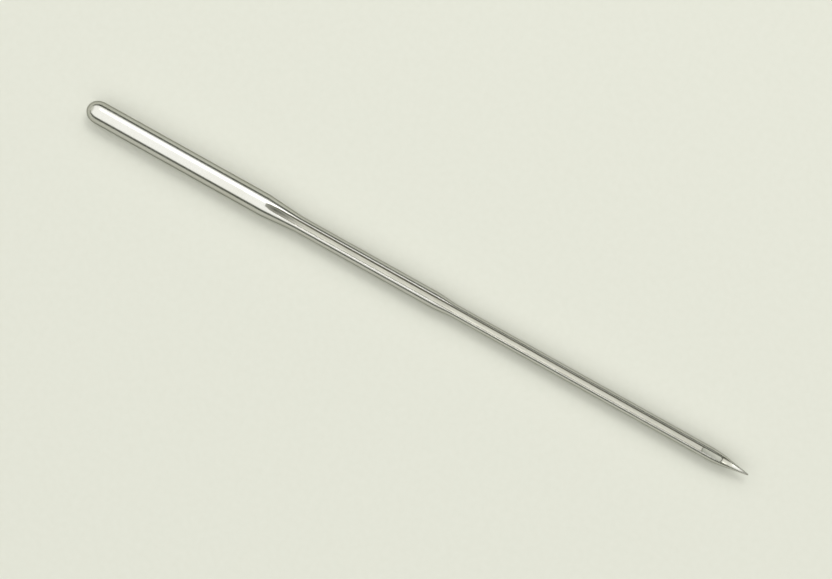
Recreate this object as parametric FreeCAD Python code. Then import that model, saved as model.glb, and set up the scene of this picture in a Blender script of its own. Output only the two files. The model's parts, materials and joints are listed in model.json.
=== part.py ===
import FreeCAD, Part
import math
import os

# Sewing machine needle with a round shank, one solid of steel. Millimetres.
# The needle lies along X. Its butt is toward -X and its point toward +X. The long groove
# faces +Z, and the scarf and the short groove face -Z. The origin is on the axis, in the
# middle of the straight shank wall that a needle bar grips.

# Shank and shoulder. A butt fullness of 0.55 makes the domed end half an ellipse.
TOTAL_LENGTH = 55.5
SHANK_DIAMETER = 1.70
SHANK_LENGTH = 15.0
BUTT_LENGTH = 1.0
BUTT_FULLNESS = 0.55
SHOULDER_LENGTH = 2.8
SHOULDER_EDGE_RADIUS = 0.4
SHOULDER_FOOT_RADIUS = 4.0

# Blade: a thicker upper part, a short step, then the nominal diameter down to the eye
UPPER_BLADE_DIAMETER = 1.25
UPPER_BLADE_END = 29.5
STEP_LENGTH = 1.4
STEP_RADIUS = 3.0
BLADE_DIAMETER = 1.00

# Point: a cone blended out of the blade, with a small ball at its tip
POINT_ANGLE = 20.0
POINT_BLEND_RADIUS = 8.0
TIP_RADIUS = 0.06

# Eye
EYE_WIDTH = 0.40
EYE_LENGTH = 1.6
EYE_TO_TIP = 2.2
EYE_EDGE_RADIUS = 0.05

# Long groove, from the shoulder to just below the eye
GROOVE_WIDTH = 0.42
GROOVE_DEPTH = 0.44
GROOVE_FLOOR_RADIUS = 0.13
GROOVE_RIM_RADIUS = 0.03
GROOVE_START = 15.1
GROOVE_START_ANGLE = 20.0
GROOVE_START_RADIUS = 8.0
GROOVE_END_TO_TIP = 1.35
GROOVE_END_ANGLE = 24.0
GROOVE_END_RADIUS = 1.2

# Short groove, on the back above and below the eye
SHORT_GROOVE_WIDTH = 0.42
SHORT_GROOVE_DEPTH = 0.27
SHORT_GROOVE_FLOOR_RADIUS = 0.09
SHORT_GROOVE_ABOVE_EYE = 1.1
SHORT_GROOVE_START_ANGLE = 14.0
SHORT_GROOVE_END_TO_TIP = 1.6
SHORT_GROOVE_END_ANGLE = 20.0
SHORT_GROOVE_END_RADIUS = 1.0

# Scarf, the flat clearance ground into the back above the eye
SCARF_LENGTH = 3.0
SCARF_DEPTH = 0.18
SCARF_ABOVE_EYE = 0.15
SCARF_LOWER_ANGLE = 30.0
SCARF_LOWER_RADIUS = 0.8
SCARF_UPPER_ANGLE = 10.0
SCARF_UPPER_RADIUS = 5.0

# Derived sizes
SHANK_RADIUS = SHANK_DIAMETER / 2
UPPER_BLADE_RADIUS = UPPER_BLADE_DIAMETER / 2
BLADE_RADIUS = BLADE_DIAMETER / 2
POINT_SLOPE = math.tan(math.radians(POINT_ANGLE / 2))
TIP_CORNER = TIP_RADIUS * math.tan(math.radians(45 - POINT_ANGLE / 4))
BUTT_X = -(SHANK_LENGTH + BUTT_LENGTH) / 2
TIP_X = BUTT_X + TOTAL_LENGTH
EYE_LOW_X = TIP_X - EYE_TO_TIP
EYE_HIGH_X = EYE_LOW_X - EYE_LENGTH
CLEAR = SHANK_RADIUS + 0.3


def point_at(x, z):
    return FreeCAD.Vector(x, 0, z)


def point_surface(to_tip):
    """The radius of the point's cone at a distance from the tip."""
    return TIP_CORNER + to_tip * POINT_SLOPE


def rounded_path(corners):
    """Lines and tangent arcs through corners, each given as x, z and a rounding radius."""
    points = [point_at(x, z) for x, z, radius in corners]
    edges = []
    start = points[0]
    for i in range(1, len(corners) - 1):
        radius = corners[i][2]
        before = (points[i - 1] - points[i]).normalize()
        after = (points[i + 1] - points[i]).normalize()
        middle = (before + after).normalize()
        half_angle = before.getAngle(after) / 2
        arc_start = points[i] + before * (radius / math.tan(half_angle))
        arc_end = points[i] + after * (radius / math.tan(half_angle))
        arc_middle = points[i] + middle * (radius / math.sin(half_angle) - radius)
        edges.append(Part.LineSegment(start, arc_start).toShape())
        edges.append(Part.Arc(arc_start, arc_middle, arc_end).toShape())
        start = arc_end
    if (points[-1] - start).Length > 1e-6:
        edges.append(Part.LineSegment(start, points[-1]).toShape())
    return edges


def butt_edge():
    """The domed end's outline, square to the axis and flush with the shank wall."""
    curve = Part.BezierCurve()
    curve.setPoles([
        point_at(BUTT_X, 0),
        point_at(BUTT_X, SHANK_RADIUS * BUTT_FULLNESS),
        point_at(BUTT_X + BUTT_LENGTH * (1 - BUTT_FULLNESS), SHANK_RADIUS),
        point_at(BUTT_X + BUTT_LENGTH, SHANK_RADIUS),
    ])
    return curve.toShape()


def turned_body():
    """The needle before its grooves: shank, shoulder, blade and point turned about X."""
    shoulder_x = BUTT_X + SHANK_LENGTH
    step_x = BUTT_X + UPPER_BLADE_END
    point_x = TIP_X - (BLADE_RADIUS - TIP_CORNER) / POINT_SLOPE
    wall = rounded_path([
        (BUTT_X + BUTT_LENGTH, SHANK_RADIUS, 0),
        (shoulder_x, SHANK_RADIUS, SHOULDER_EDGE_RADIUS),
        (shoulder_x + SHOULDER_LENGTH, UPPER_BLADE_RADIUS, SHOULDER_FOOT_RADIUS),
        (step_x, UPPER_BLADE_RADIUS, STEP_RADIUS),
        (step_x + STEP_LENGTH, BLADE_RADIUS, STEP_RADIUS),
        (point_x, BLADE_RADIUS, POINT_BLEND_RADIUS),
        (TIP_X, TIP_CORNER, TIP_RADIUS),
        (TIP_X, 0, 0),
    ])
    axis_line = Part.LineSegment(point_at(TIP_X, 0), point_at(BUTT_X, 0)).toShape()
    profile = Part.Face(Part.Wire([butt_edge()] + wall + [axis_line]))
    return profile.revolve(FreeCAD.Vector(0, 0, 0), FreeCAD.Vector(1, 0, 0), 360)


def trough(floor, width, start, end):
    """A cutter above a floor at height floor, with a ramp out of the needle at each end.

    start and end each give where the ramp meets the needle's surface as x and z, the
    ramp's angle and the radius that blends it into the floor.
    """
    start_x, start_z, start_angle, start_radius = start
    end_x, end_z, end_angle, end_radius = end
    start_slope = math.tan(math.radians(start_angle))
    end_slope = math.tan(math.radians(end_angle))
    edges = rounded_path([
        (start_x - (CLEAR - start_z) / start_slope, CLEAR, 0),
        (start_x + (start_z - floor) / start_slope, floor, start_radius),
        (end_x - (end_z - floor) / end_slope, floor, end_radius),
        (end_x + (CLEAR - end_z) / end_slope, CLEAR, 0),
    ])
    first = edges[0].Vertexes[0].Point
    last = edges[-1].Vertexes[-1].Point
    edges.append(Part.LineSegment(last, first).toShape())
    side = Part.Face(Part.Wire(edges))
    side.translate(FreeCAD.Vector(0, -width / 2, 0))
    return side.extrude(FreeCAD.Vector(0, width, 0))


def with_round_floor(cutter, width, radius):
    """The cutter with the long edges of its floor and ramps rounded."""
    edges = []
    for edge in cutter.Edges:
        middle = edge.CenterOfMass
        if abs(abs(middle.y) - width / 2) < 1e-6 and middle.z < CLEAR - 1e-6:
            edges.append(edge)
    return cutter.makeFillet(radius, edges)


def turned_over(shape):
    """The shape after half a turn about X, from the needle's front to its back."""
    shape.rotate(FreeCAD.Vector(0, 0, 0), FreeCAD.Vector(1, 0, 0), 180)
    return shape


def long_groove():
    start = (BUTT_X + GROOVE_START, SHANK_RADIUS, GROOVE_START_ANGLE, GROOVE_START_RADIUS)
    end = (TIP_X - GROOVE_END_TO_TIP, point_surface(GROOVE_END_TO_TIP),
           GROOVE_END_ANGLE, GROOVE_END_RADIUS)
    cutter = trough(BLADE_RADIUS - GROOVE_DEPTH, GROOVE_WIDTH, start, end)
    return with_round_floor(cutter, GROOVE_WIDTH, GROOVE_FLOOR_RADIUS)


def short_groove():
    start = (EYE_HIGH_X - SHORT_GROOVE_ABOVE_EYE, BLADE_RADIUS - SCARF_DEPTH,
             SHORT_GROOVE_START_ANGLE, SHORT_GROOVE_END_RADIUS)
    end = (TIP_X - SHORT_GROOVE_END_TO_TIP, point_surface(SHORT_GROOVE_END_TO_TIP),
           SHORT_GROOVE_END_ANGLE, SHORT_GROOVE_END_RADIUS)
    cutter = trough(BLADE_RADIUS - SHORT_GROOVE_DEPTH, SHORT_GROOVE_WIDTH, start, end)
    cutter = with_round_floor(cutter, SHORT_GROOVE_WIDTH, SHORT_GROOVE_FLOOR_RADIUS)
    return turned_over(cutter)


def scarf():
    low_x = EYE_HIGH_X - SCARF_ABOVE_EYE
    start = (low_x - SCARF_LENGTH, BLADE_RADIUS, SCARF_UPPER_ANGLE, SCARF_UPPER_RADIUS)
    end = (low_x, BLADE_RADIUS, SCARF_LOWER_ANGLE, SCARF_LOWER_RADIUS)
    return turned_over(trough(BLADE_RADIUS - SCARF_DEPTH, 3 * BLADE_RADIUS, start, end))


def eye():
    """An upright slot with half-round ends, right through the blade."""
    radius = EYE_WIDTH / 2
    height = 2 * BLADE_DIAMETER
    slot = Part.makeBox(EYE_LENGTH - EYE_WIDTH, EYE_WIDTH, height,
                        FreeCAD.Vector(EYE_HIGH_X + radius, -radius, -BLADE_DIAMETER))
    for x in (EYE_HIGH_X + radius, EYE_LOW_X - radius):
        foot = FreeCAD.Vector(x, 0, -BLADE_DIAMETER)
        slot = slot.fuse(Part.makeCylinder(radius, height, foot))
    return slot.removeSplitter()


def edge_points(edge):
    """Five points along an edge."""
    first, last = edge.ParameterRange
    return [edge.valueAt(first + (last - first) * i / 4) for i in range(5)]


def on_eye_wall(point):
    """Whether a point lies on the upright wall of the eye."""
    radius = EYE_WIDTH / 2
    middle_x = min(max(point.x, EYE_HIGH_X + radius), EYE_LOW_X - radius)
    return abs(math.hypot(point.x - middle_x, point.y) - radius) < 1e-4


def round_groove_rims(body, outside):
    """Round the two long rims where the long groove's walls meet the outside."""
    rims = []
    for edge in body.Edges:
        middle = edge.CenterOfMass
        if middle.z < 0 or abs(abs(middle.y) - GROOVE_WIDTH / 2) > 1e-6:
            continue
        if outside.distToShape(Part.Vertex(edge_points(edge)[2]))[0] < 1e-5:
            rims.append(edge)
    return body.makeFillet(GROOVE_RIM_RADIUS, rims)


def round_eye_edges(body):
    """Round the eye's mouth on both sides, where the thread bends over it."""
    mouth = []
    for edge in body.Edges:
        if edge.Length < 1e-4 or edge.BoundBox.XLength + edge.BoundBox.YLength < 0.01:
            continue
        if all(on_eye_wall(point) for point in edge_points(edge)):
            mouth.append(edge)
    return body.makeFillet(EYE_EDGE_RADIUS, mouth)


def needle():
    turned = turned_body()
    body = turned.cut(long_groove())
    body = body.cut(scarf())
    body = body.cut(short_groove())
    body = round_groove_rims(body, turned.Shells[0])
    body = body.cut(eye())
    return round_eye_edges(body).Solids[0]


os.makedirs("parts", exist_ok=True)
needle().exportStep("parts/needle.step")
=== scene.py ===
# %% [markdown]
# # A sewing machine needle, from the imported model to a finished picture
#
# The needle is one piece of hardened steel wire: ground to a point, pressed with its grooves,
# punched for its eye, polished and plated. It lies along X with its butt at -X and its point
# at +X, and its long groove faces up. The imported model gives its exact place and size. This
# script models the same needle again with smoother rounds and finer edges, and dresses it.

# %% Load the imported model
import json
import math
import bmesh
import bpy
from mathutils import Matrix, Vector

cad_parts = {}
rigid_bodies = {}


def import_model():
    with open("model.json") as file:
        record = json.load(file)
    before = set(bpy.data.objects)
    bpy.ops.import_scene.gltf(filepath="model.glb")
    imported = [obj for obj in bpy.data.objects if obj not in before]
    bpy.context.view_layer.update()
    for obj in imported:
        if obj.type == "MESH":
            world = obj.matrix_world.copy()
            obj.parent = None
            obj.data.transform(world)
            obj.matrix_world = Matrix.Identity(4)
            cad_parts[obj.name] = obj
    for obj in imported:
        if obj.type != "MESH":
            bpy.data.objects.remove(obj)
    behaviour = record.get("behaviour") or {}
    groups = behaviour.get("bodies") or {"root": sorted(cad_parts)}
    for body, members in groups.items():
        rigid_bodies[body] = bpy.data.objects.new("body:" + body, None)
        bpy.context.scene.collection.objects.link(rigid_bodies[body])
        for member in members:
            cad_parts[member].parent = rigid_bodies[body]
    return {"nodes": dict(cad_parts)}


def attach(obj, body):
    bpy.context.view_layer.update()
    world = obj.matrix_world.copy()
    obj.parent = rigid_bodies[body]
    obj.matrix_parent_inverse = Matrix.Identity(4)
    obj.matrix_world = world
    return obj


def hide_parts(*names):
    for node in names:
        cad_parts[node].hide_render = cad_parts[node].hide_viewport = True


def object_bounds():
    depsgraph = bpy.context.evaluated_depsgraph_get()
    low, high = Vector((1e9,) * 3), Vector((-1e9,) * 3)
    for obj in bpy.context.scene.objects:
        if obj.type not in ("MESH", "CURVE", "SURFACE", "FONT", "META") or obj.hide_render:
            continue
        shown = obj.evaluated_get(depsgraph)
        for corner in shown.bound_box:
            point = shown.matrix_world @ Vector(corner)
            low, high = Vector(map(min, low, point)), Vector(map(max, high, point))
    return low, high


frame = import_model()
cad_low, cad_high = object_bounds()
METRE = 1000.0  # a metre in millimetres
print("packed nodes:", sorted(frame["nodes"]))
print("packed box in mm:", [round(v * METRE, 3) for v in (*cad_low, *cad_high)])

# %% [markdown]
# ## Sizes
#
# A needle is made of plain turned lengths that meet at corners, so a few sizes say nearly
# everything. They are in millimetres, because the details of a needle are smaller than the
# distances at which mesh tools weld points together in a model that is in metres. The
# finished mesh is scaled down once, at the end. X is counted from the middle of the shank,
# and heights are counted from the needle's axis.

# %% Name the sizes
BUTT, TIP = cad_low.x * METRE, cad_high.x * METRE
# Radii of the shank, of the thicker upper blade and of the blade
SHANK = cad_high.z * METRE
UPPER_BLADE, BLADE = 0.625, 0.5
# Where the shoulder's cone, and the step between the two blades, start and end
SHOULDER, FOOT = BUTT + 15.0, BUTT + 17.8
STEP_TOP, STEP_FOOT = BUTT + 29.5, BUTT + 30.9
# The length of the dome on the butt
DOME = 1.0
# The point is a cone. A large radius blends it out of the blade, and a small ball ends it.
HALF_POINT = math.radians(10)
BLEND, BALL = 8.0, 0.06
BLEND_REACH = BLEND * math.tan(HALF_POINT / 2)
BALL_CORNER = BALL * math.tan((math.pi / 2 - HALF_POINT) / 2)
POINT_TOP = TIP - (BLADE - BALL_CORNER) / math.tan(HALF_POINT)
print("the point's cone is", round(TIP - POINT_TOP, 2), "mm long")

# %% [markdown]
# ## Helpers for edit mode
#
# By hand, one clicks on the points or edges that the next step is for. In a script they are
# found by where they are. More helpers draw a line point by point, as one does by pressing E
# again and again, round a corner of it with a vertex bevel, and turn the faces of a solid
# outwards.

# %% Pick by place
GAP = 0.002  # places closer than this count as the same place


def near(a, b):
    return abs(a - b) < GAP


def pick(kind, test):
    """Select only the verts, edges or faces that pass a test, and count them."""
    bpy.ops.mesh.select_mode(type=kind)
    bpy.ops.mesh.select_all(action="DESELECT")
    mesh = bmesh.from_edit_mesh(bpy.context.edit_object.data)
    items = {"VERT": mesh.verts, "EDGE": mesh.edges, "FACE": mesh.faces}[kind]
    found = [item for item in items if test(item)]
    for item in found:
        item.select_set(True)
    mesh.select_flush_mode()
    bmesh.update_edit_mesh(bpy.context.edit_object.data)
    return len(found)


def pick_all(kind):
    bpy.ops.mesh.select_mode(type=kind)
    bpy.ops.mesh.select_all(action="SELECT")


print("the same place means within", GAP, "mm")


# %% Pull, draw and round
def pull(x, y, z):
    """Extrude what is selected and move the copy."""
    bpy.ops.mesh.extrude_region_move(TRANSFORM_OT_translate={"value": (x, y, z)})


def draw_line(name, corners):
    """Draw a line through corners given as x and z, from a plane merged to one point."""
    bpy.ops.object.select_all(action="DESELECT")
    bpy.ops.mesh.primitive_plane_add(size=1, location=(0, 0, 0))
    made = bpy.context.object
    made.name = name
    bpy.ops.object.mode_set(mode="EDIT")
    pick_all("VERT")
    bpy.ops.mesh.merge(type="CENTER")
    bpy.ops.transform.translate(value=(corners[0][0], 0, corners[0][1]))
    for (x, z), (next_x, next_z) in zip(corners, corners[1:]):
        pull(next_x - x, 0, next_z - z)
    return made


def round_corner(x, z, reach, segments):
    """Round one corner of a line. The arc starts and ends at a distance reach from it."""
    pick("VERT", lambda v: near(v.co.x, x) and near(v.co.z, z))
    bpy.ops.mesh.bevel(offset_type="OFFSET", offset=reach, segments=segments,
                       affect="VERTICES", clamp_overlap=False)


def outward():
    """Turn every face to point out of the solid."""
    pick_all("FACE")
    bpy.ops.mesh.normals_make_consistent(inside=False)


helpers = (near, pick, pick_all, pull, draw_line, round_corner, outward)
print("edit mode helpers:", [helper.__name__ for helper in helpers])

# %% [markdown]
# ## The turned body
#
# Before its grooves are pressed, the needle is round everywhere: wire that was swaged and
# ground thinner in steps. A shape that is round everywhere is spun. Half of its outline is
# drawn along the needle, each corner is rounded by as much as grinding and polishing leave,
# and the outline is spun once round the axis. A point close to each side of a corner keeps
# the long straight stretches straight when the mesh is shaded smooth.

# %% Draw half of the outline
# How far such a point is from a sharp edge, a bend, the point's long blend and the tip
EDGE_HOLD, BEND_HOLD, BLEND_HOLD, TIP_HOLD = 0.1, 0.3, 0.9, 0.15
# None stands for the radius of the cone at that place
outline = [
    (BUTT, 0), (BUTT, SHANK), (BUTT + DOME + EDGE_HOLD, SHANK),
    (SHOULDER - EDGE_HOLD, SHANK), (SHOULDER, SHANK), (SHOULDER + EDGE_HOLD, None),
    (FOOT - BEND_HOLD, None), (FOOT, UPPER_BLADE), (FOOT + BEND_HOLD, UPPER_BLADE),
    (STEP_TOP - BEND_HOLD, UPPER_BLADE), (STEP_TOP, UPPER_BLADE),
    (STEP_FOOT, BLADE), (STEP_FOOT + BEND_HOLD, BLADE),
    (POINT_TOP - BLEND_HOLD, BLADE), (POINT_TOP, BLADE), (POINT_TOP + BLEND_HOLD, None),
    (TIP - TIP_HOLD, None), (TIP, BALL_CORNER), (TIP, 0),
]


def cone_radius(x):
    """The radius on the shoulder's cone or on the point's cone."""
    if x < FOOT:
        return SHANK + (UPPER_BLADE - SHANK) * (x - SHOULDER) / (FOOT - SHOULDER)
    return BALL_CORNER + (TIP - x) * math.tan(HALF_POINT)


outline = [(x, cone_radius(x) if z is None else z) for x, z in outline]
needle = draw_line("needle_polished", outline)
print("outline corners:", len(outline))

# %% Round its corners
# A reach is a radius times the tangent of half the corner's turn. The corners turn by about
# five degrees, so these are radii of 0.4, 4 and 3 mm.
SHOULDER_REACH, FOOT_REACH, STEP_REACH = 0.016, 0.16, 0.134
round_corner(SHOULDER, SHANK, SHOULDER_REACH, 3)
round_corner(FOOT, UPPER_BLADE, FOOT_REACH, 8)
round_corner(STEP_TOP, UPPER_BLADE, STEP_REACH, 6)
round_corner(STEP_FOOT, BLADE, STEP_REACH, 6)
round_corner(POINT_TOP, BLADE, BLEND_REACH, 16)
round_corner(TIP, BALL_CORNER, BALL_CORNER, 8)
print("points in the outline:", len(bmesh.from_edit_mesh(needle.data).verts))

# %% Dome the butt
round_corner(BUTT, SHANK, SHANK, 20)
dome_points = pick("VERT", lambda v: v.co.x < BUTT + SHANK + GAP)
bpy.ops.transform.resize(value=(DOME / SHANK, 1, 1), center_override=(BUTT, 0, 0))
print("points in the dome:", dome_points)

# %% Spin the outline round the axis
COLUMNS = 192
WELD = 0.0001  # points closer than this are merged to one
pick_all("VERT")
bpy.ops.mesh.spin(steps=COLUMNS, angle=2 * math.pi, center=(0, 0, 0), axis=(1, 0, 0))
pick_all("VERT")
bpy.ops.mesh.remove_doubles(threshold=WELD)
outward()
bpy.ops.object.mode_set(mode="OBJECT")
print("faces of the turned body:", len(needle.data.polygons))


# %% Work out the radius along the needle
def outside(x):
    """The radius before the needle is cut, apart from its two ends and small roundings."""
    blend_start = POINT_TOP - BLEND_REACH
    blend_end = blend_start + BLEND * math.sin(HALF_POINT)
    if x < SHOULDER:
        return SHANK
    if x < FOOT or x > blend_end:
        return cone_radius(x)
    if x < STEP_TOP:
        return UPPER_BLADE
    if x < STEP_FOOT:
        return UPPER_BLADE + (BLADE - UPPER_BLADE) * (x - STEP_TOP) / (STEP_FOOT - STEP_TOP)
    if x < blend_start:
        return BLADE
    return BLADE - BLEND + math.sqrt(BLEND ** 2 - (x - blend_start) ** 2)


for x in (7, 8.4, 12, 30, 45, 46, 47):
    print("radius at x", x, "is", round(outside(x), 3), "mm")

# %% [markdown]
# ## Node helpers and the two steel finishes
#
# The whole needle is hardened steel under a thin bright plating, but it has two finishes.
# Outside and in the eye it was polished to a near mirror. In the grooves and the scarf it
# keeps the skin that pressing leaves, where the wheel didn't reach. Both are bare metal, so
# they show what they mirror, and the finish is nearly all in their roughness and relief. The
# pressed finish is also painted a shade darker: painted shade for the recessed grooves and
# scarf.
#
# Grinding marks run round the shank, and polishing marks run along the blade. Real ones are
# a few thousandths of a millimetre apart, which is too fine to show, so they are drawn a
# tenth of a millimetre apart. Bright plating mirrors less where the eye meets it at a glancing
# angle, and the shader's Specular Tint does that: it gives the needle its thin dark outline.


# %% Colours and nodes
def colour(code):
    """An sRGB hex colour as linear values with an alpha of 1."""
    parts = [int(code[i:i + 2], 16) / 255 for i in (1, 3, 5)]
    linear = [p / 12.92 if p <= 0.04045 else ((p + 0.055) / 1.055) ** 2.4 for p in parts]
    return (*linear, 1)


def node(tree, kind, inputs, **settings):
    """Add a node. Each input gets a value, or a link from another node's output."""
    made = tree.nodes.new(kind)
    for name, value in settings.items():
        setattr(made, name, value)
    for name, value in inputs.items():
        if isinstance(value, bpy.types.NodeSocket):
            tree.links.new(value, made.inputs[name])
        else:
            made.inputs[name].default_value = value
    return made


def new_material(name):
    made = bpy.data.materials.new(name)
    made.use_nodes = True
    made.node_tree.nodes.clear()
    return made, made.node_tree


print("mid grey #808080 is", round(colour("#808080")[0], 3), "in linear light")


# %% Lines that run round or along
def marks(tree, place, long_mm, across_mm, round_shank):
    """Fine lines: long_mm long and across_mm apart, round the needle or along it."""
    across, along = METRE / across_mm, METRE / long_mm
    scale = (across, along, along) if round_shank else (along, across, across)
    stretched = node(tree, "ShaderNodeMapping", {"Vector": place, "Scale": scale})
    return node(tree, "ShaderNodeTexNoise",
                {"Vector": stretched.outputs["Vector"], "Scale": 1.0, "Detail": 3.0,
                 "Roughness": 0.6}).outputs["Fac"]


print("a mark of 0.1 mm has a scale of", METRE / 0.1)

# %% Bright-plated polished steel
# To the eye: a mirror with soft edges to its reflections, faint streaks along the blade,
# fainter rings round the shank, and a hardly visible warm tone where the plating is thicker.
GLANCING = colour("#82847a")  # what the plating mirrors at a glancing angle
CHANGE = 0.3  # rings give way to streaks this far before and after the shoulder's start
polished, tree = new_material("bright_plated_polished_steel")
place = node(tree, "ShaderNodeTexCoord", {}).outputs["Object"]
rings = marks(tree, place, 2.0, 0.1, True)
streaks = marks(tree, place, 6.0, 0.1, False)
x_place = node(tree, "ShaderNodeSeparateXYZ", {"Vector": place}).outputs["X"]
on_blade = node(tree, "ShaderNodeMapRange",
                {"Value": x_place, "From Min": (SHOULDER - CHANGE) / METRE,
                 "From Max": (SHOULDER + CHANGE) / METRE}).outputs["Result"]
relief = node(tree, "ShaderNodeMix", {"Factor": on_blade, "A": rings, "B": streaks},
              data_type="FLOAT").outputs["Result"]
depth = node(tree, "ShaderNodeMapRange",
             {"Value": on_blade, "To Min": 0.18, "To Max": 0.5}).outputs["Result"]
clouds = node(tree, "ShaderNodeTexNoise",
              {"Vector": place, "Scale": METRE / 3.0, "Detail": 2.0}).outputs["Fac"]
tone = node(tree, "ShaderNodeMix",
            {"Factor": clouds, "A": colour("#d0d0cd"), "B": colour("#c5c4bc")},
            data_type="RGBA")
gloss = node(tree, "ShaderNodeMapRange",
             {"Value": relief, "From Min": 0.3, "From Max": 0.7, "To Min": 0.13,
              "To Max": 0.24}).outputs["Result"]
bump = node(tree, "ShaderNodeBump",
            {"Height": relief, "Strength": depth, "Distance": 0.0018 / METRE})
steel = node(tree, "ShaderNodeBsdfPrincipled",
             {"Base Color": tone.outputs["Result"], "Metallic": 1.0, "Roughness": gloss,
              "Specular Tint": GLANCING, "Normal": bump.outputs["Normal"]})
node(tree, "ShaderNodeOutputMaterial", {"Surface": steel.outputs["BSDF"]})
print("outside finish:", polished.name, "with", len(tree.nodes), "nodes")

# %% Plated steel as pressed, with painted shade
# To the eye: the same metal, satin, with short lengthwise drag marks. Its tone is a shade
# darker than the polished rails beside it, which is painted shade for the recessed grooves and
# scarf.
pressed_with_painted_shade, tree = new_material("plated_steel_as_pressed_painted_shade")
place = node(tree, "ShaderNodeTexCoord", {}).outputs["Object"]
drag = marks(tree, place, 1.2, 0.09, False)
# These tones are darker than the polished steel's: painted shade for the grooves and scarf.
tone = node(tree, "ShaderNodeMix",
            {"Factor": drag, "A": colour("#bfbeb5"), "B": colour("#adaca2")},
            data_type="RGBA")
gloss = node(tree, "ShaderNodeMapRange",
             {"Value": drag, "From Min": 0.3, "From Max": 0.7, "To Min": 0.26,
              "To Max": 0.4}).outputs["Result"]
bump = node(tree, "ShaderNodeBump",
            {"Height": drag, "Strength": 0.35, "Distance": 0.0025 / METRE})
steel = node(tree, "ShaderNodeBsdfPrincipled",
             {"Base Color": tone.outputs["Result"], "Metallic": 1.0, "Roughness": gloss,
              "Specular Tint": GLANCING, "Normal": bump.outputs["Normal"]})
node(tree, "ShaderNodeOutputMaterial", {"Surface": steel.outputs["BSDF"]})
needle.data.materials.append(polished)
print("groove finish:", pressed_with_painted_shade.name, "with", len(tree.nodes), "nodes")

# %% [markdown]
# ## The long groove
#
# The long groove takes the thread down from the shank to the eye. It is pressed into the
# wire, with a rounded floor, and it runs out at both ends in a ramp. The cutter is drawn as
# its floor's side view, pulled sideways to a strip and then up to a block, and its two lower
# edges are bevelled. A boolean takes it out of the body, and the cutter's material goes over
# to the faces that it leaves.

# %% Make a cutter from its floor's side view
RAMP_TOP = 1.1  # the height that the ramps are drawn to, clear of the shank
ABOVE = 1.2  # the height of the cutter's flat top


def trough(name, floor, start, end):
    """Draw a flat floor with a ramp at each end.

    start and end give where the ramp meets the needle's outside as x and z, its angle in
    degrees, and the radius that rounds it into the floor.
    """
    tops, feet = [], []
    for ramp, way in ((start, -1), (end, 1)):
        x, z, angle = ramp[:3]
        slope = math.tan(math.radians(angle))
        tops.append((x + way * (RAMP_TOP - z) / slope, RAMP_TOP))
        feet.append((x - way * (z - floor) / slope, floor))
    made = draw_line(name, [tops[0], feet[0], feet[1], tops[1]])
    for foot, ramp, segments in zip(feet, (start, end), (12, 8)):
        angle, radius = ramp[2:]
        round_corner(*foot, radius * math.tan(math.radians(angle) / 2), segments)
    return made


def block_above(half_width):
    """Pull the drawn line sideways to a strip and up to a block with a flat top."""
    pick_all("EDGE")
    bpy.ops.transform.translate(value=(0, -half_width, 0))
    pull(0, 2 * half_width, 0)
    pick_all("FACE")
    pull(0, 0, ABOVE)
    bpy.ops.transform.resize(value=(1, 1, 0), center_override=(0, 0, ABOVE))
    outward()


def bevel_floor(half_width, radius):
    """Round the two long lower edges of a block, and count their pieces."""
    found = pick("EDGE", lambda e: all(near(abs(v.co.y), half_width) for v in e.verts)
                 and all(v.co.z < ABOVE - GAP for v in e.verts)
                 and abs(e.verts[0].co.x - e.verts[1].co.x) > WELD)
    bpy.ops.mesh.bevel(offset_type="OFFSET", offset=radius, segments=6, affect="EDGES",
                       clamp_overlap=False)
    return found


print("cutters reach", round(ABOVE - SHANK, 2), "mm over the shank")


# %% Cut the long groove
def cut_away(cutter, finish):
    """Take the cutter out of the needle and leave the finish on the faces it makes."""
    bpy.ops.object.mode_set(mode="OBJECT")
    cutter.data.materials.append(finish)
    bpy.ops.object.select_all(action="DESELECT")
    needle.select_set(True)
    bpy.context.view_layer.objects.active = needle
    bpy.ops.object.modifier_add(type="BOOLEAN")
    boolean = needle.modifiers[-1]
    boolean.operation, boolean.solver = "DIFFERENCE", "EXACT"
    boolean.material_mode = "TRANSFER"
    boolean.object = cutter
    bpy.ops.object.modifier_apply(modifier=boolean.name)
    bpy.data.objects.remove(cutter)
    print("faces now:", len(needle.data.polygons))


GROOVE_HALF, GROOVE_FLOOR, GROOVE_ROUND = 0.21, 0.06, 0.13
GROOVE_START, GROOVE_END = BUTT + 15.1, TIP - 1.35
cutter = trough("groove_cutter", GROOVE_FLOOR, (GROOVE_START, SHANK, 20, 8.0),
                (GROOVE_END, cone_radius(GROOVE_END), 24, 1.2))
block_above(GROOVE_HALF)
print("floor edges rounded:", bevel_floor(GROOVE_HALF, GROOVE_ROUND))
cut_away(cutter, pressed_with_painted_shade)

# %% [markdown]
# ## The groove's rims
#
# Polishing rounds the two long rims of the groove, and each rim mirrors a thin line of light.
# A bevel of the cut edges would run into the body's own columns of faces, which cross the
# rims where the needle gets thinner. So a second cutter flares out like a trumpet: its line
# runs just under the rims, and it is pulled up in short steps that each grow wider.

# %% Make a cutter that flares
RIM = 0.03  # the radius of the rounded rims
INSIDE = 0.01  # the cutter starts this far inside the groove, clear of its walls
LEAN = 0.93  # a little less than 1, so that the flare's end stands clear of the outside
QUARTER = [math.radians(turn) for turn in (22.5, 45, 67.5, 90)]  # a quarter turn in steps


def rim_height(x):
    """The height at which the groove's wall comes out of the needle."""
    return math.sqrt(outside(x) ** 2 - GROOVE_HALF ** 2)


def rim_foot(x):
    """Where the flare leaves the wall, so that it ends just above the sloping outside."""
    return rim_height(x) - RIM * (1 + LEAN * GROOVE_HALF / rim_height(x))


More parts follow.
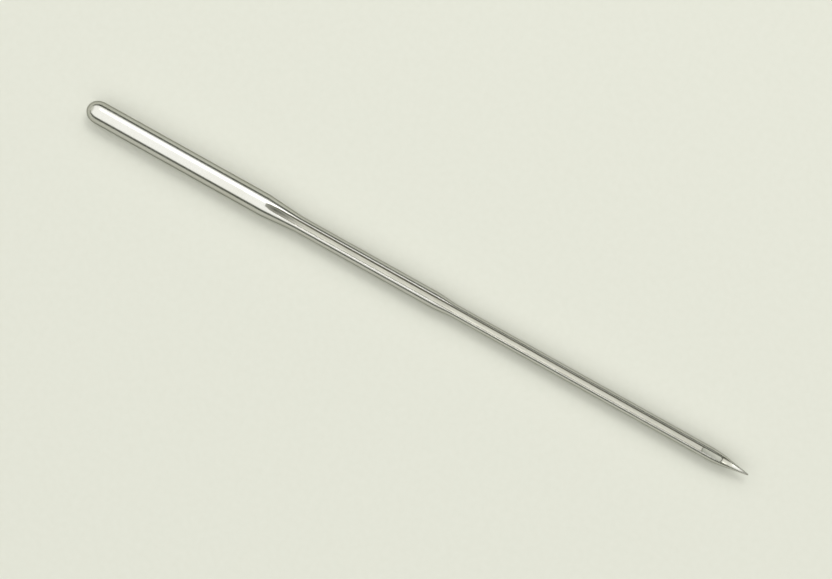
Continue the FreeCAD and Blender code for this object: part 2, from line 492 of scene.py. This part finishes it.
def flare(name, line, half_width):
    """A cutter that follows a line under two rims and grows wider as it rises."""
    made = draw_line(name, line)
    pick_all("EDGE")
    start_half = half_width - INSIDE
    bpy.ops.transform.translate(value=(0, -start_half, -INSIDE))
    pull(0, 2 * start_half, 0)
    pick_all("FACE")
    steps = [(half_width, 0.0)]
    for turn in QUARTER:
        steps.append((half_width + RIM * (1 - math.cos(turn)), RIM * math.sin(turn)))
    last_half, last_rise = start_half, -INSIDE
    for half, rise in steps:
        pull(0, 0, rise - last_rise)
        bpy.ops.transform.resize(value=(1, half / last_half, 1), center_override=(0, 0, 0))
        last_half, last_rise = half, rise
    pull(0, 0, ABOVE)
    bpy.ops.transform.resize(value=(1, 1, 0), center_override=(0, 0, ABOVE))
    outward()
    return made


print("a rim's foot on the blade is", round(rim_foot(30), 3), "mm above the axis")

# %% Flare the rims
# The line has more points where the outside bends, and at both ends it rises out of the
# needle. The points are given by how far they are from each bend.
bends = [(SHOULDER, (1.0, 1.2, 1.4, 1.7, 2.0, 2.3, 2.5)),
         (FOOT, (-0.16, -0.05, 0.05, 0.16, 0.4)),
         (STEP_TOP, (-0.3, -0.13, 0, 0.13, 0.5)),
         (STEP_FOOT, (-0.5, -0.13, 0, 0.13, 0.4)),
         (TIP, (-3.5, -3.25, -3.1, -2.9, -2.7, -2.5, -2.3))]
stations = [place + offset for place, offsets in bends for offset in offsets]
first, last = SHOULDER + 0.3, TIP - 1.75
rim_line = [(x, rim_foot(x)) for x in stations]
rim_line = [(first, rim_height(first) + RIM), *rim_line, (last, rim_height(last) + RIM)]
print("points in the rim line:", len(rim_line))
cut_away(flare("rim_cutter", rim_line, GROOVE_HALF), polished)

# %% [markdown]
# ## The back: scarf and short groove
#
# On the back, a flat clearance called the scarf lets the machine's hook pass close to the
# thread, and a short shallow groove leads the thread over the eye. Both are made like the long
# groove, as cutters above a floor, and are then turned half round the axis to the back.


# %% Cut the scarf
def turn_over():
    """Turn the whole cutter half round the axis, from the front to the back."""
    pick_all("VERT")
    bpy.ops.transform.rotate(value=math.pi, orient_axis="X", center_override=(0, 0, 0))
    outward()


# The eye's two ends give the scarf and the short groove their places
EYE_TOP, EYE_END = TIP - 3.8, TIP - 2.2
SCARF_END = EYE_TOP - 0.15
SCARF_START = SCARF_END - 3.0
SCARF_FLOOR, SCARF_HALF = 0.32, 0.75
cutter = trough("scarf_cutter", SCARF_FLOOR, (SCARF_START, BLADE, 10, 5.0),
                (SCARF_END, BLADE, 30, 0.8))
block_above(SCARF_HALF)
turn_over()
cut_away(cutter, pressed_with_painted_shade)
print("the scarf is", round(SCARF_END - SCARF_START, 2), "mm long and",
      round(BLADE - SCARF_FLOOR, 2), "mm deep")

# %% Cut the short groove
BACK_FLOOR, BACK_ROUND = 0.23, 0.09
BACK_START, BACK_END = EYE_TOP - 1.1, TIP - 1.6
cutter = trough("back_groove_cutter", BACK_FLOOR, (BACK_START, SCARF_FLOOR, 14, 1.0),
                (BACK_END, cone_radius(BACK_END), 20, 1.0))
block_above(GROOVE_HALF)
print("floor edges rounded:", bevel_floor(GROOVE_HALF, BACK_ROUND))
turn_over()
cut_away(cutter, pressed_with_painted_shade)

# %% [markdown]
# ## The eye
#
# The eye is punched through the web between the two grooves and then polished, so that its
# mouths are rounded and don't cut the thread. Its cutter is a box with its upright edges
# bevelled until the ends are half round. Both ends are then pulled out in steps that grow
# wider, mostly lengthwise, because sideways the groove's walls stand close by.

# %% Shape the eye's cutter
EYE_HALF, MOUTH = 0.2, 0.05
HAIR = 0.0005  # keeps the two bevels of one end from meeting
eye_middle = (EYE_TOP + EYE_END) / 2
eye_long = (EYE_END - EYE_TOP) / 2
low, high = MOUTH - BACK_FLOOR, GROOVE_FLOOR - MOUTH
bpy.ops.object.select_all(action="DESELECT")
bpy.ops.mesh.primitive_cube_add(size=1, location=(eye_middle, 0, (low + high) / 2),
                                scale=(2 * eye_long, 2 * EYE_HALF, high - low))
cutter = bpy.context.object
cutter.name = "eye_cutter"
bpy.ops.object.transform_apply(location=True, rotation=True, scale=True)
bpy.ops.object.mode_set(mode="EDIT")
pick("EDGE", lambda e: abs(e.verts[0].co.z - e.verts[1].co.z) > GAP)
bpy.ops.mesh.bevel(offset_type="OFFSET", offset=EYE_HALF - HAIR, segments=16,
                   affect="EDGES", clamp_overlap=False)
print("the eye is", round(2 * eye_long, 2), "by", 2 * EYE_HALF, "mm")

# %% Open both mouths and cut the eye
SIDEWAYS = 0.004  # how far the mouth's rounding goes sideways
PAST = 0.7  # how far the cutter reaches past each mouth
for side, level in ((1, high), (-1, low)):
    pick("FACE", lambda f: f.normal.z * side > 0.9)
    last_long, last_half, last_rise = eye_long, EYE_HALF, 0.0
    for turn in QUARTER:
        wider, rise = 1 - math.cos(turn), MOUTH * math.sin(turn)
        long, half = eye_long + MOUTH * wider, EYE_HALF + SIDEWAYS * wider
        pull(0, 0, side * (rise - last_rise))
        bpy.ops.transform.resize(value=(long / last_long, half / last_half, 1),
                                 center_override=(eye_middle, 0, 0))
        last_long, last_half, last_rise = long, half, rise
    pull(0, 0, side * PAST)
    print("mouth from", round(level, 2), "to", round(level + side * last_rise, 2), "mm")
outward()
cut_away(cutter, polished)

# %% [markdown]
# ## Finish the mesh
#
# Points that the booleans left almost on top of each other are merged. Then the mesh is
# scaled from millimetres to metres, and is shaded smooth, except where faces meet at more
# than 40 degrees. Normals weighted by area keep long flat faces even beside fine edges.

# %% Merge, scale and shade
SMOOTH_BELOW = math.radians(40)
bpy.ops.object.select_all(action="DESELECT")
needle.select_set(True)
bpy.context.view_layer.objects.active = needle
bpy.ops.object.mode_set(mode="EDIT")
pick_all("VERT")
bpy.ops.mesh.remove_doubles(threshold=WELD)
outward()
open_edges = pick("EDGE", lambda e: len(e.link_faces) != 2)
bpy.ops.object.mode_set(mode="OBJECT")
needle.scale = (1 / METRE,) * 3
bpy.ops.object.transform_apply(location=True, rotation=True, scale=True)
bpy.ops.object.shade_smooth_by_angle(angle=SMOOTH_BELOW)
bpy.ops.object.modifier_add(type="WEIGHTED_NORMAL")
needle.modifiers[-1].keep_sharp = True
bpy.ops.object.modifier_apply(modifier=needle.modifiers[-1].name)
print("open or doubled edges:", open_edges)
print("finished faces:", len(needle.data.polygons), "points:", len(needle.data.vertices))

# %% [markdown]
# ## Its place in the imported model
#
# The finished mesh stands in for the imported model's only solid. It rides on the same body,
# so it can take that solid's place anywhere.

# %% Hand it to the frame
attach(needle, "root")
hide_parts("needle")
print(needle.name, "replaces the solid needle on the body root")

# %% [markdown]
# ## The floor
#
# A plain pale floor of uncoated card. It is a creamy white with a faint grain, matt, and
# flat, and it lies where the shank rests on it.

# %% Lay the floor
card, tree = new_material("uncoated_cream_card")
place = node(tree, "ShaderNodeTexCoord", {}).outputs["Object"]
grain = node(tree, "ShaderNodeTexNoise",
             {"Vector": place, "Scale": METRE / 0.5, "Detail": 4.0}).outputs["Fac"]
tone = node(tree, "ShaderNodeMix",
            {"Factor": grain, "A": colour("#dbdcd3"), "B": colour("#d6d7cd")},
            data_type="RGBA")
bump = node(tree, "ShaderNodeBump",
            {"Height": grain, "Strength": 0.15, "Distance": 0.02 / METRE})
paper = node(tree, "ShaderNodeBsdfPrincipled",
             {"Base Color": tone.outputs["Result"], "Roughness": 0.7,
              "Normal": bump.outputs["Normal"]})
node(tree, "ShaderNodeOutputMaterial", {"Surface": paper.outputs["BSDF"]})
bpy.ops.object.select_all(action="DESELECT")
bpy.ops.mesh.primitive_plane_add(size=4, location=(0, 0, cad_low.z))
floor = bpy.context.object
floor.name = "floor_card"
floor.data.materials.append(card)
print("floor at z =", round(floor.location.z * METRE, 3), "mm, under the shank")

# %% [markdown]
# ## Light
#
# A polished needle shows the room more than itself, and a round bar mirrors the sky at twice
# the angle of its side. So the sky is drawn for it. A long soft strip runs overhead along
# the needle, as wide as 60 degrees to each side, and the bar shows it as a white band over
# half of its width. Beside the strip the sky is dim, and draws a dark line along each side
# of the band. Towards its ends the strip is less bright. On the point's side of the middle
# hangs a narrow dark card, as photographers use for cutlery. The start of the long groove
# slopes that way and mirrors it, so it looks dark, and the card darkens the point a little.
# At the horizon the sky is pale. One soft lamp on the far side gives the shadow on the near
# side.

# %% Make the sky
STRIP_HALF, STRIP_EDGE = 60, 6  # degrees to each side, and how soft its edge is
sky = bpy.data.worlds.new("soft_studio")
bpy.context.scene.world = sky
sky.use_nodes = True
tree = sky.node_tree
tree.nodes.clear()
way = node(tree, "ShaderNodeTexCoord", {}).outputs["Generated"]
parts = node(tree, "ShaderNodeSeparateXYZ", {"Vector": way}).outputs
across = node(tree, "ShaderNodeVectorMath", {0: way, 1: (0, 1, 1)}, operation="MULTIPLY")
across = node(tree, "ShaderNodeVectorMath", {0: across.outputs["Vector"]},
              operation="NORMALIZE")
upright = node(tree, "ShaderNodeSeparateXYZ", {"Vector": across.outputs["Vector"]})
strip = node(tree, "ShaderNodeMapRange",
             {"Value": upright.outputs["Z"],
              "From Min": math.cos(math.radians(STRIP_HALF + STRIP_EDGE)),
              "From Max": math.cos(math.radians(STRIP_HALF - STRIP_EDGE))},
             interpolation_type="SMOOTHSTEP")
print("the sky so far:", len(tree.nodes), "nodes for a strip", STRIP_HALF,
      "degrees to each side")

# %% Make the strip brightest overhead
# A place along the sky is the X of the way to it: -1 past the butt, 0 overhead, 1 past the
# point. The strip is brightest about its middle, and fades between two distances from there.
STRIP_MIDDLE, FADE_START, FADE_END = -0.27, 0.45, 0.62
STRIP_LIGHT = (1.48, 1.48, 1.44, 1)
shifted = node(tree, "ShaderNodeMath", {0: parts["X"], 1: -STRIP_MIDDLE}, operation="ADD")
lengthwise = node(tree, "ShaderNodeMath", {0: shifted.outputs["Value"]},
                  operation="ABSOLUTE")
overhead = node(tree, "ShaderNodeMapRange",
                {"Value": lengthwise.outputs["Value"], "From Min": FADE_END,
                 "From Max": FADE_START}, interpolation_type="SMOOTHSTEP")
strip_tone = node(tree, "ShaderNodeMix",
                  {"Factor": overhead.outputs["Result"], "A": colour("#eeefe4"),
                   "B": STRIP_LIGHT}, data_type="RGBA")
above = node(tree, "ShaderNodeMix",
             {"Factor": strip.outputs["Result"], "A": colour("#5c6055"),
              "B": strip_tone.outputs["Result"]}, data_type="RGBA")
print("the strip's light overhead is", STRIP_LIGHT[0])

# %% Hang a dark card on the point's side
# The card fades in between two places along the sky, and it fades out to each side between
# two distances from the needle's own upright plane.
CARD_FAINT, CARD_FULL = 0.12, 0.34
CARD_SIDE, CARD_EDGE = 0.2, 0.38
past_middle = node(tree, "ShaderNodeMapRange",
                   {"Value": parts["X"], "From Min": CARD_FAINT, "From Max": CARD_FULL},
                   interpolation_type="SMOOTHSTEP")
sideways = node(tree, "ShaderNodeMath", {0: parts["Y"]}, operation="ABSOLUTE")
between = node(tree, "ShaderNodeMapRange",
               {"Value": sideways.outputs["Value"], "From Min": CARD_EDGE,
                "From Max": CARD_SIDE}, interpolation_type="SMOOTHSTEP")
dark_card = node(tree, "ShaderNodeMath",
                 {0: past_middle.outputs["Result"], 1: between.outputs["Result"]},
                 operation="MULTIPLY")
above = node(tree, "ShaderNodeMix",
             {"Factor": dark_card.outputs["Value"], "A": above.outputs["Result"],
              "B": colour("#3a3d36")}, data_type="RGBA")
print("the card is at full depth", round(math.degrees(math.asin(CARD_FULL))),
      "degrees from overhead")

# %% Make the horizon pale
# The pale sky starts at one height above level, in degrees, and is full at the other
HORIZON_TOP, HORIZON_FOOT = 8, 5.5
low_down = node(tree, "ShaderNodeMapRange",
                {"Value": parts["Z"], "From Min": math.sin(math.radians(HORIZON_TOP)),
                 "From Max": math.sin(math.radians(HORIZON_FOOT))},
                interpolation_type="SMOOTHSTEP")
whole = node(tree, "ShaderNodeMix",
             {"Factor": low_down.outputs["Result"], "A": above.outputs["Result"],
              "B": colour("#d8d9cc")}, data_type="RGBA")
shine = node(tree, "ShaderNodeBackground", {"Color": whole.outputs["Result"], "Strength": 1.0})
node(tree, "ShaderNodeOutputWorld", {"Surface": shine.outputs["Background"]})
print("sky:", sky.name, "with", len(tree.nodes), "nodes")

# %% Hang the lamp
LAMP_PLACE = Vector((-0.02, 0.16, 0.26))  # from the needle's middle, in metres
lamp_data = bpy.data.lights.new("soft_lamp", "AREA")
lamp_data.shape = "DISK"
lamp_data.size = 0.12
lamp_data.energy = 0.16
lamp_data.color = (1.0, 0.99, 0.96)
lamp = bpy.data.objects.new("soft_lamp", lamp_data)
bpy.context.scene.collection.objects.link(lamp)
middle = (cad_low + cad_high) / 2
lamp.location = middle + LAMP_PLACE
lamp.rotation_mode = "QUATERNION"
lamp.rotation_quaternion = (lamp.location - middle).to_track_quat("Z", "Y")
print("lamp to needle in mm:", round((lamp.location - middle).length * METRE))

# %% [markdown]
# ## Camera
#
# The camera looks almost straight down, six degrees off, with the needle's butt at the upper
# left and its point at the lower right, 29 degrees below level.

# %% Set up the camera
OFF_PLUMB = math.radians(6)
SLANT = math.radians(29.3)
FRAME_WIDTH = 0.061  # how much of the floor the picture is wide, in metres
right = Vector((math.cos(SLANT), math.sin(SLANT), 0))
away = Vector((-math.sin(SLANT), math.cos(SLANT), 0))
back = Vector((0, 0, 1)) * math.cos(OFF_PLUMB) - away * math.sin(OFF_PLUMB)
camera_data = bpy.data.cameras.new("camera")
camera_data.lens, camera_data.sensor_width = 135, 36
camera_data.clip_start, camera_data.clip_end = 0.005, 10
camera = bpy.data.objects.new("camera", camera_data)
bpy.context.scene.collection.objects.link(camera)
distance = FRAME_WIDTH * camera_data.lens / camera_data.sensor_width
turned = Matrix((right, back.cross(right), back)).transposed().to_4x4()
camera.matrix_world = Matrix.Translation(middle + back * distance) @ turned
bpy.context.scene.camera = camera
bpy.context.scene.view_settings.view_transform = "Standard"
print("camera distance in mm:", round(distance * METRE))
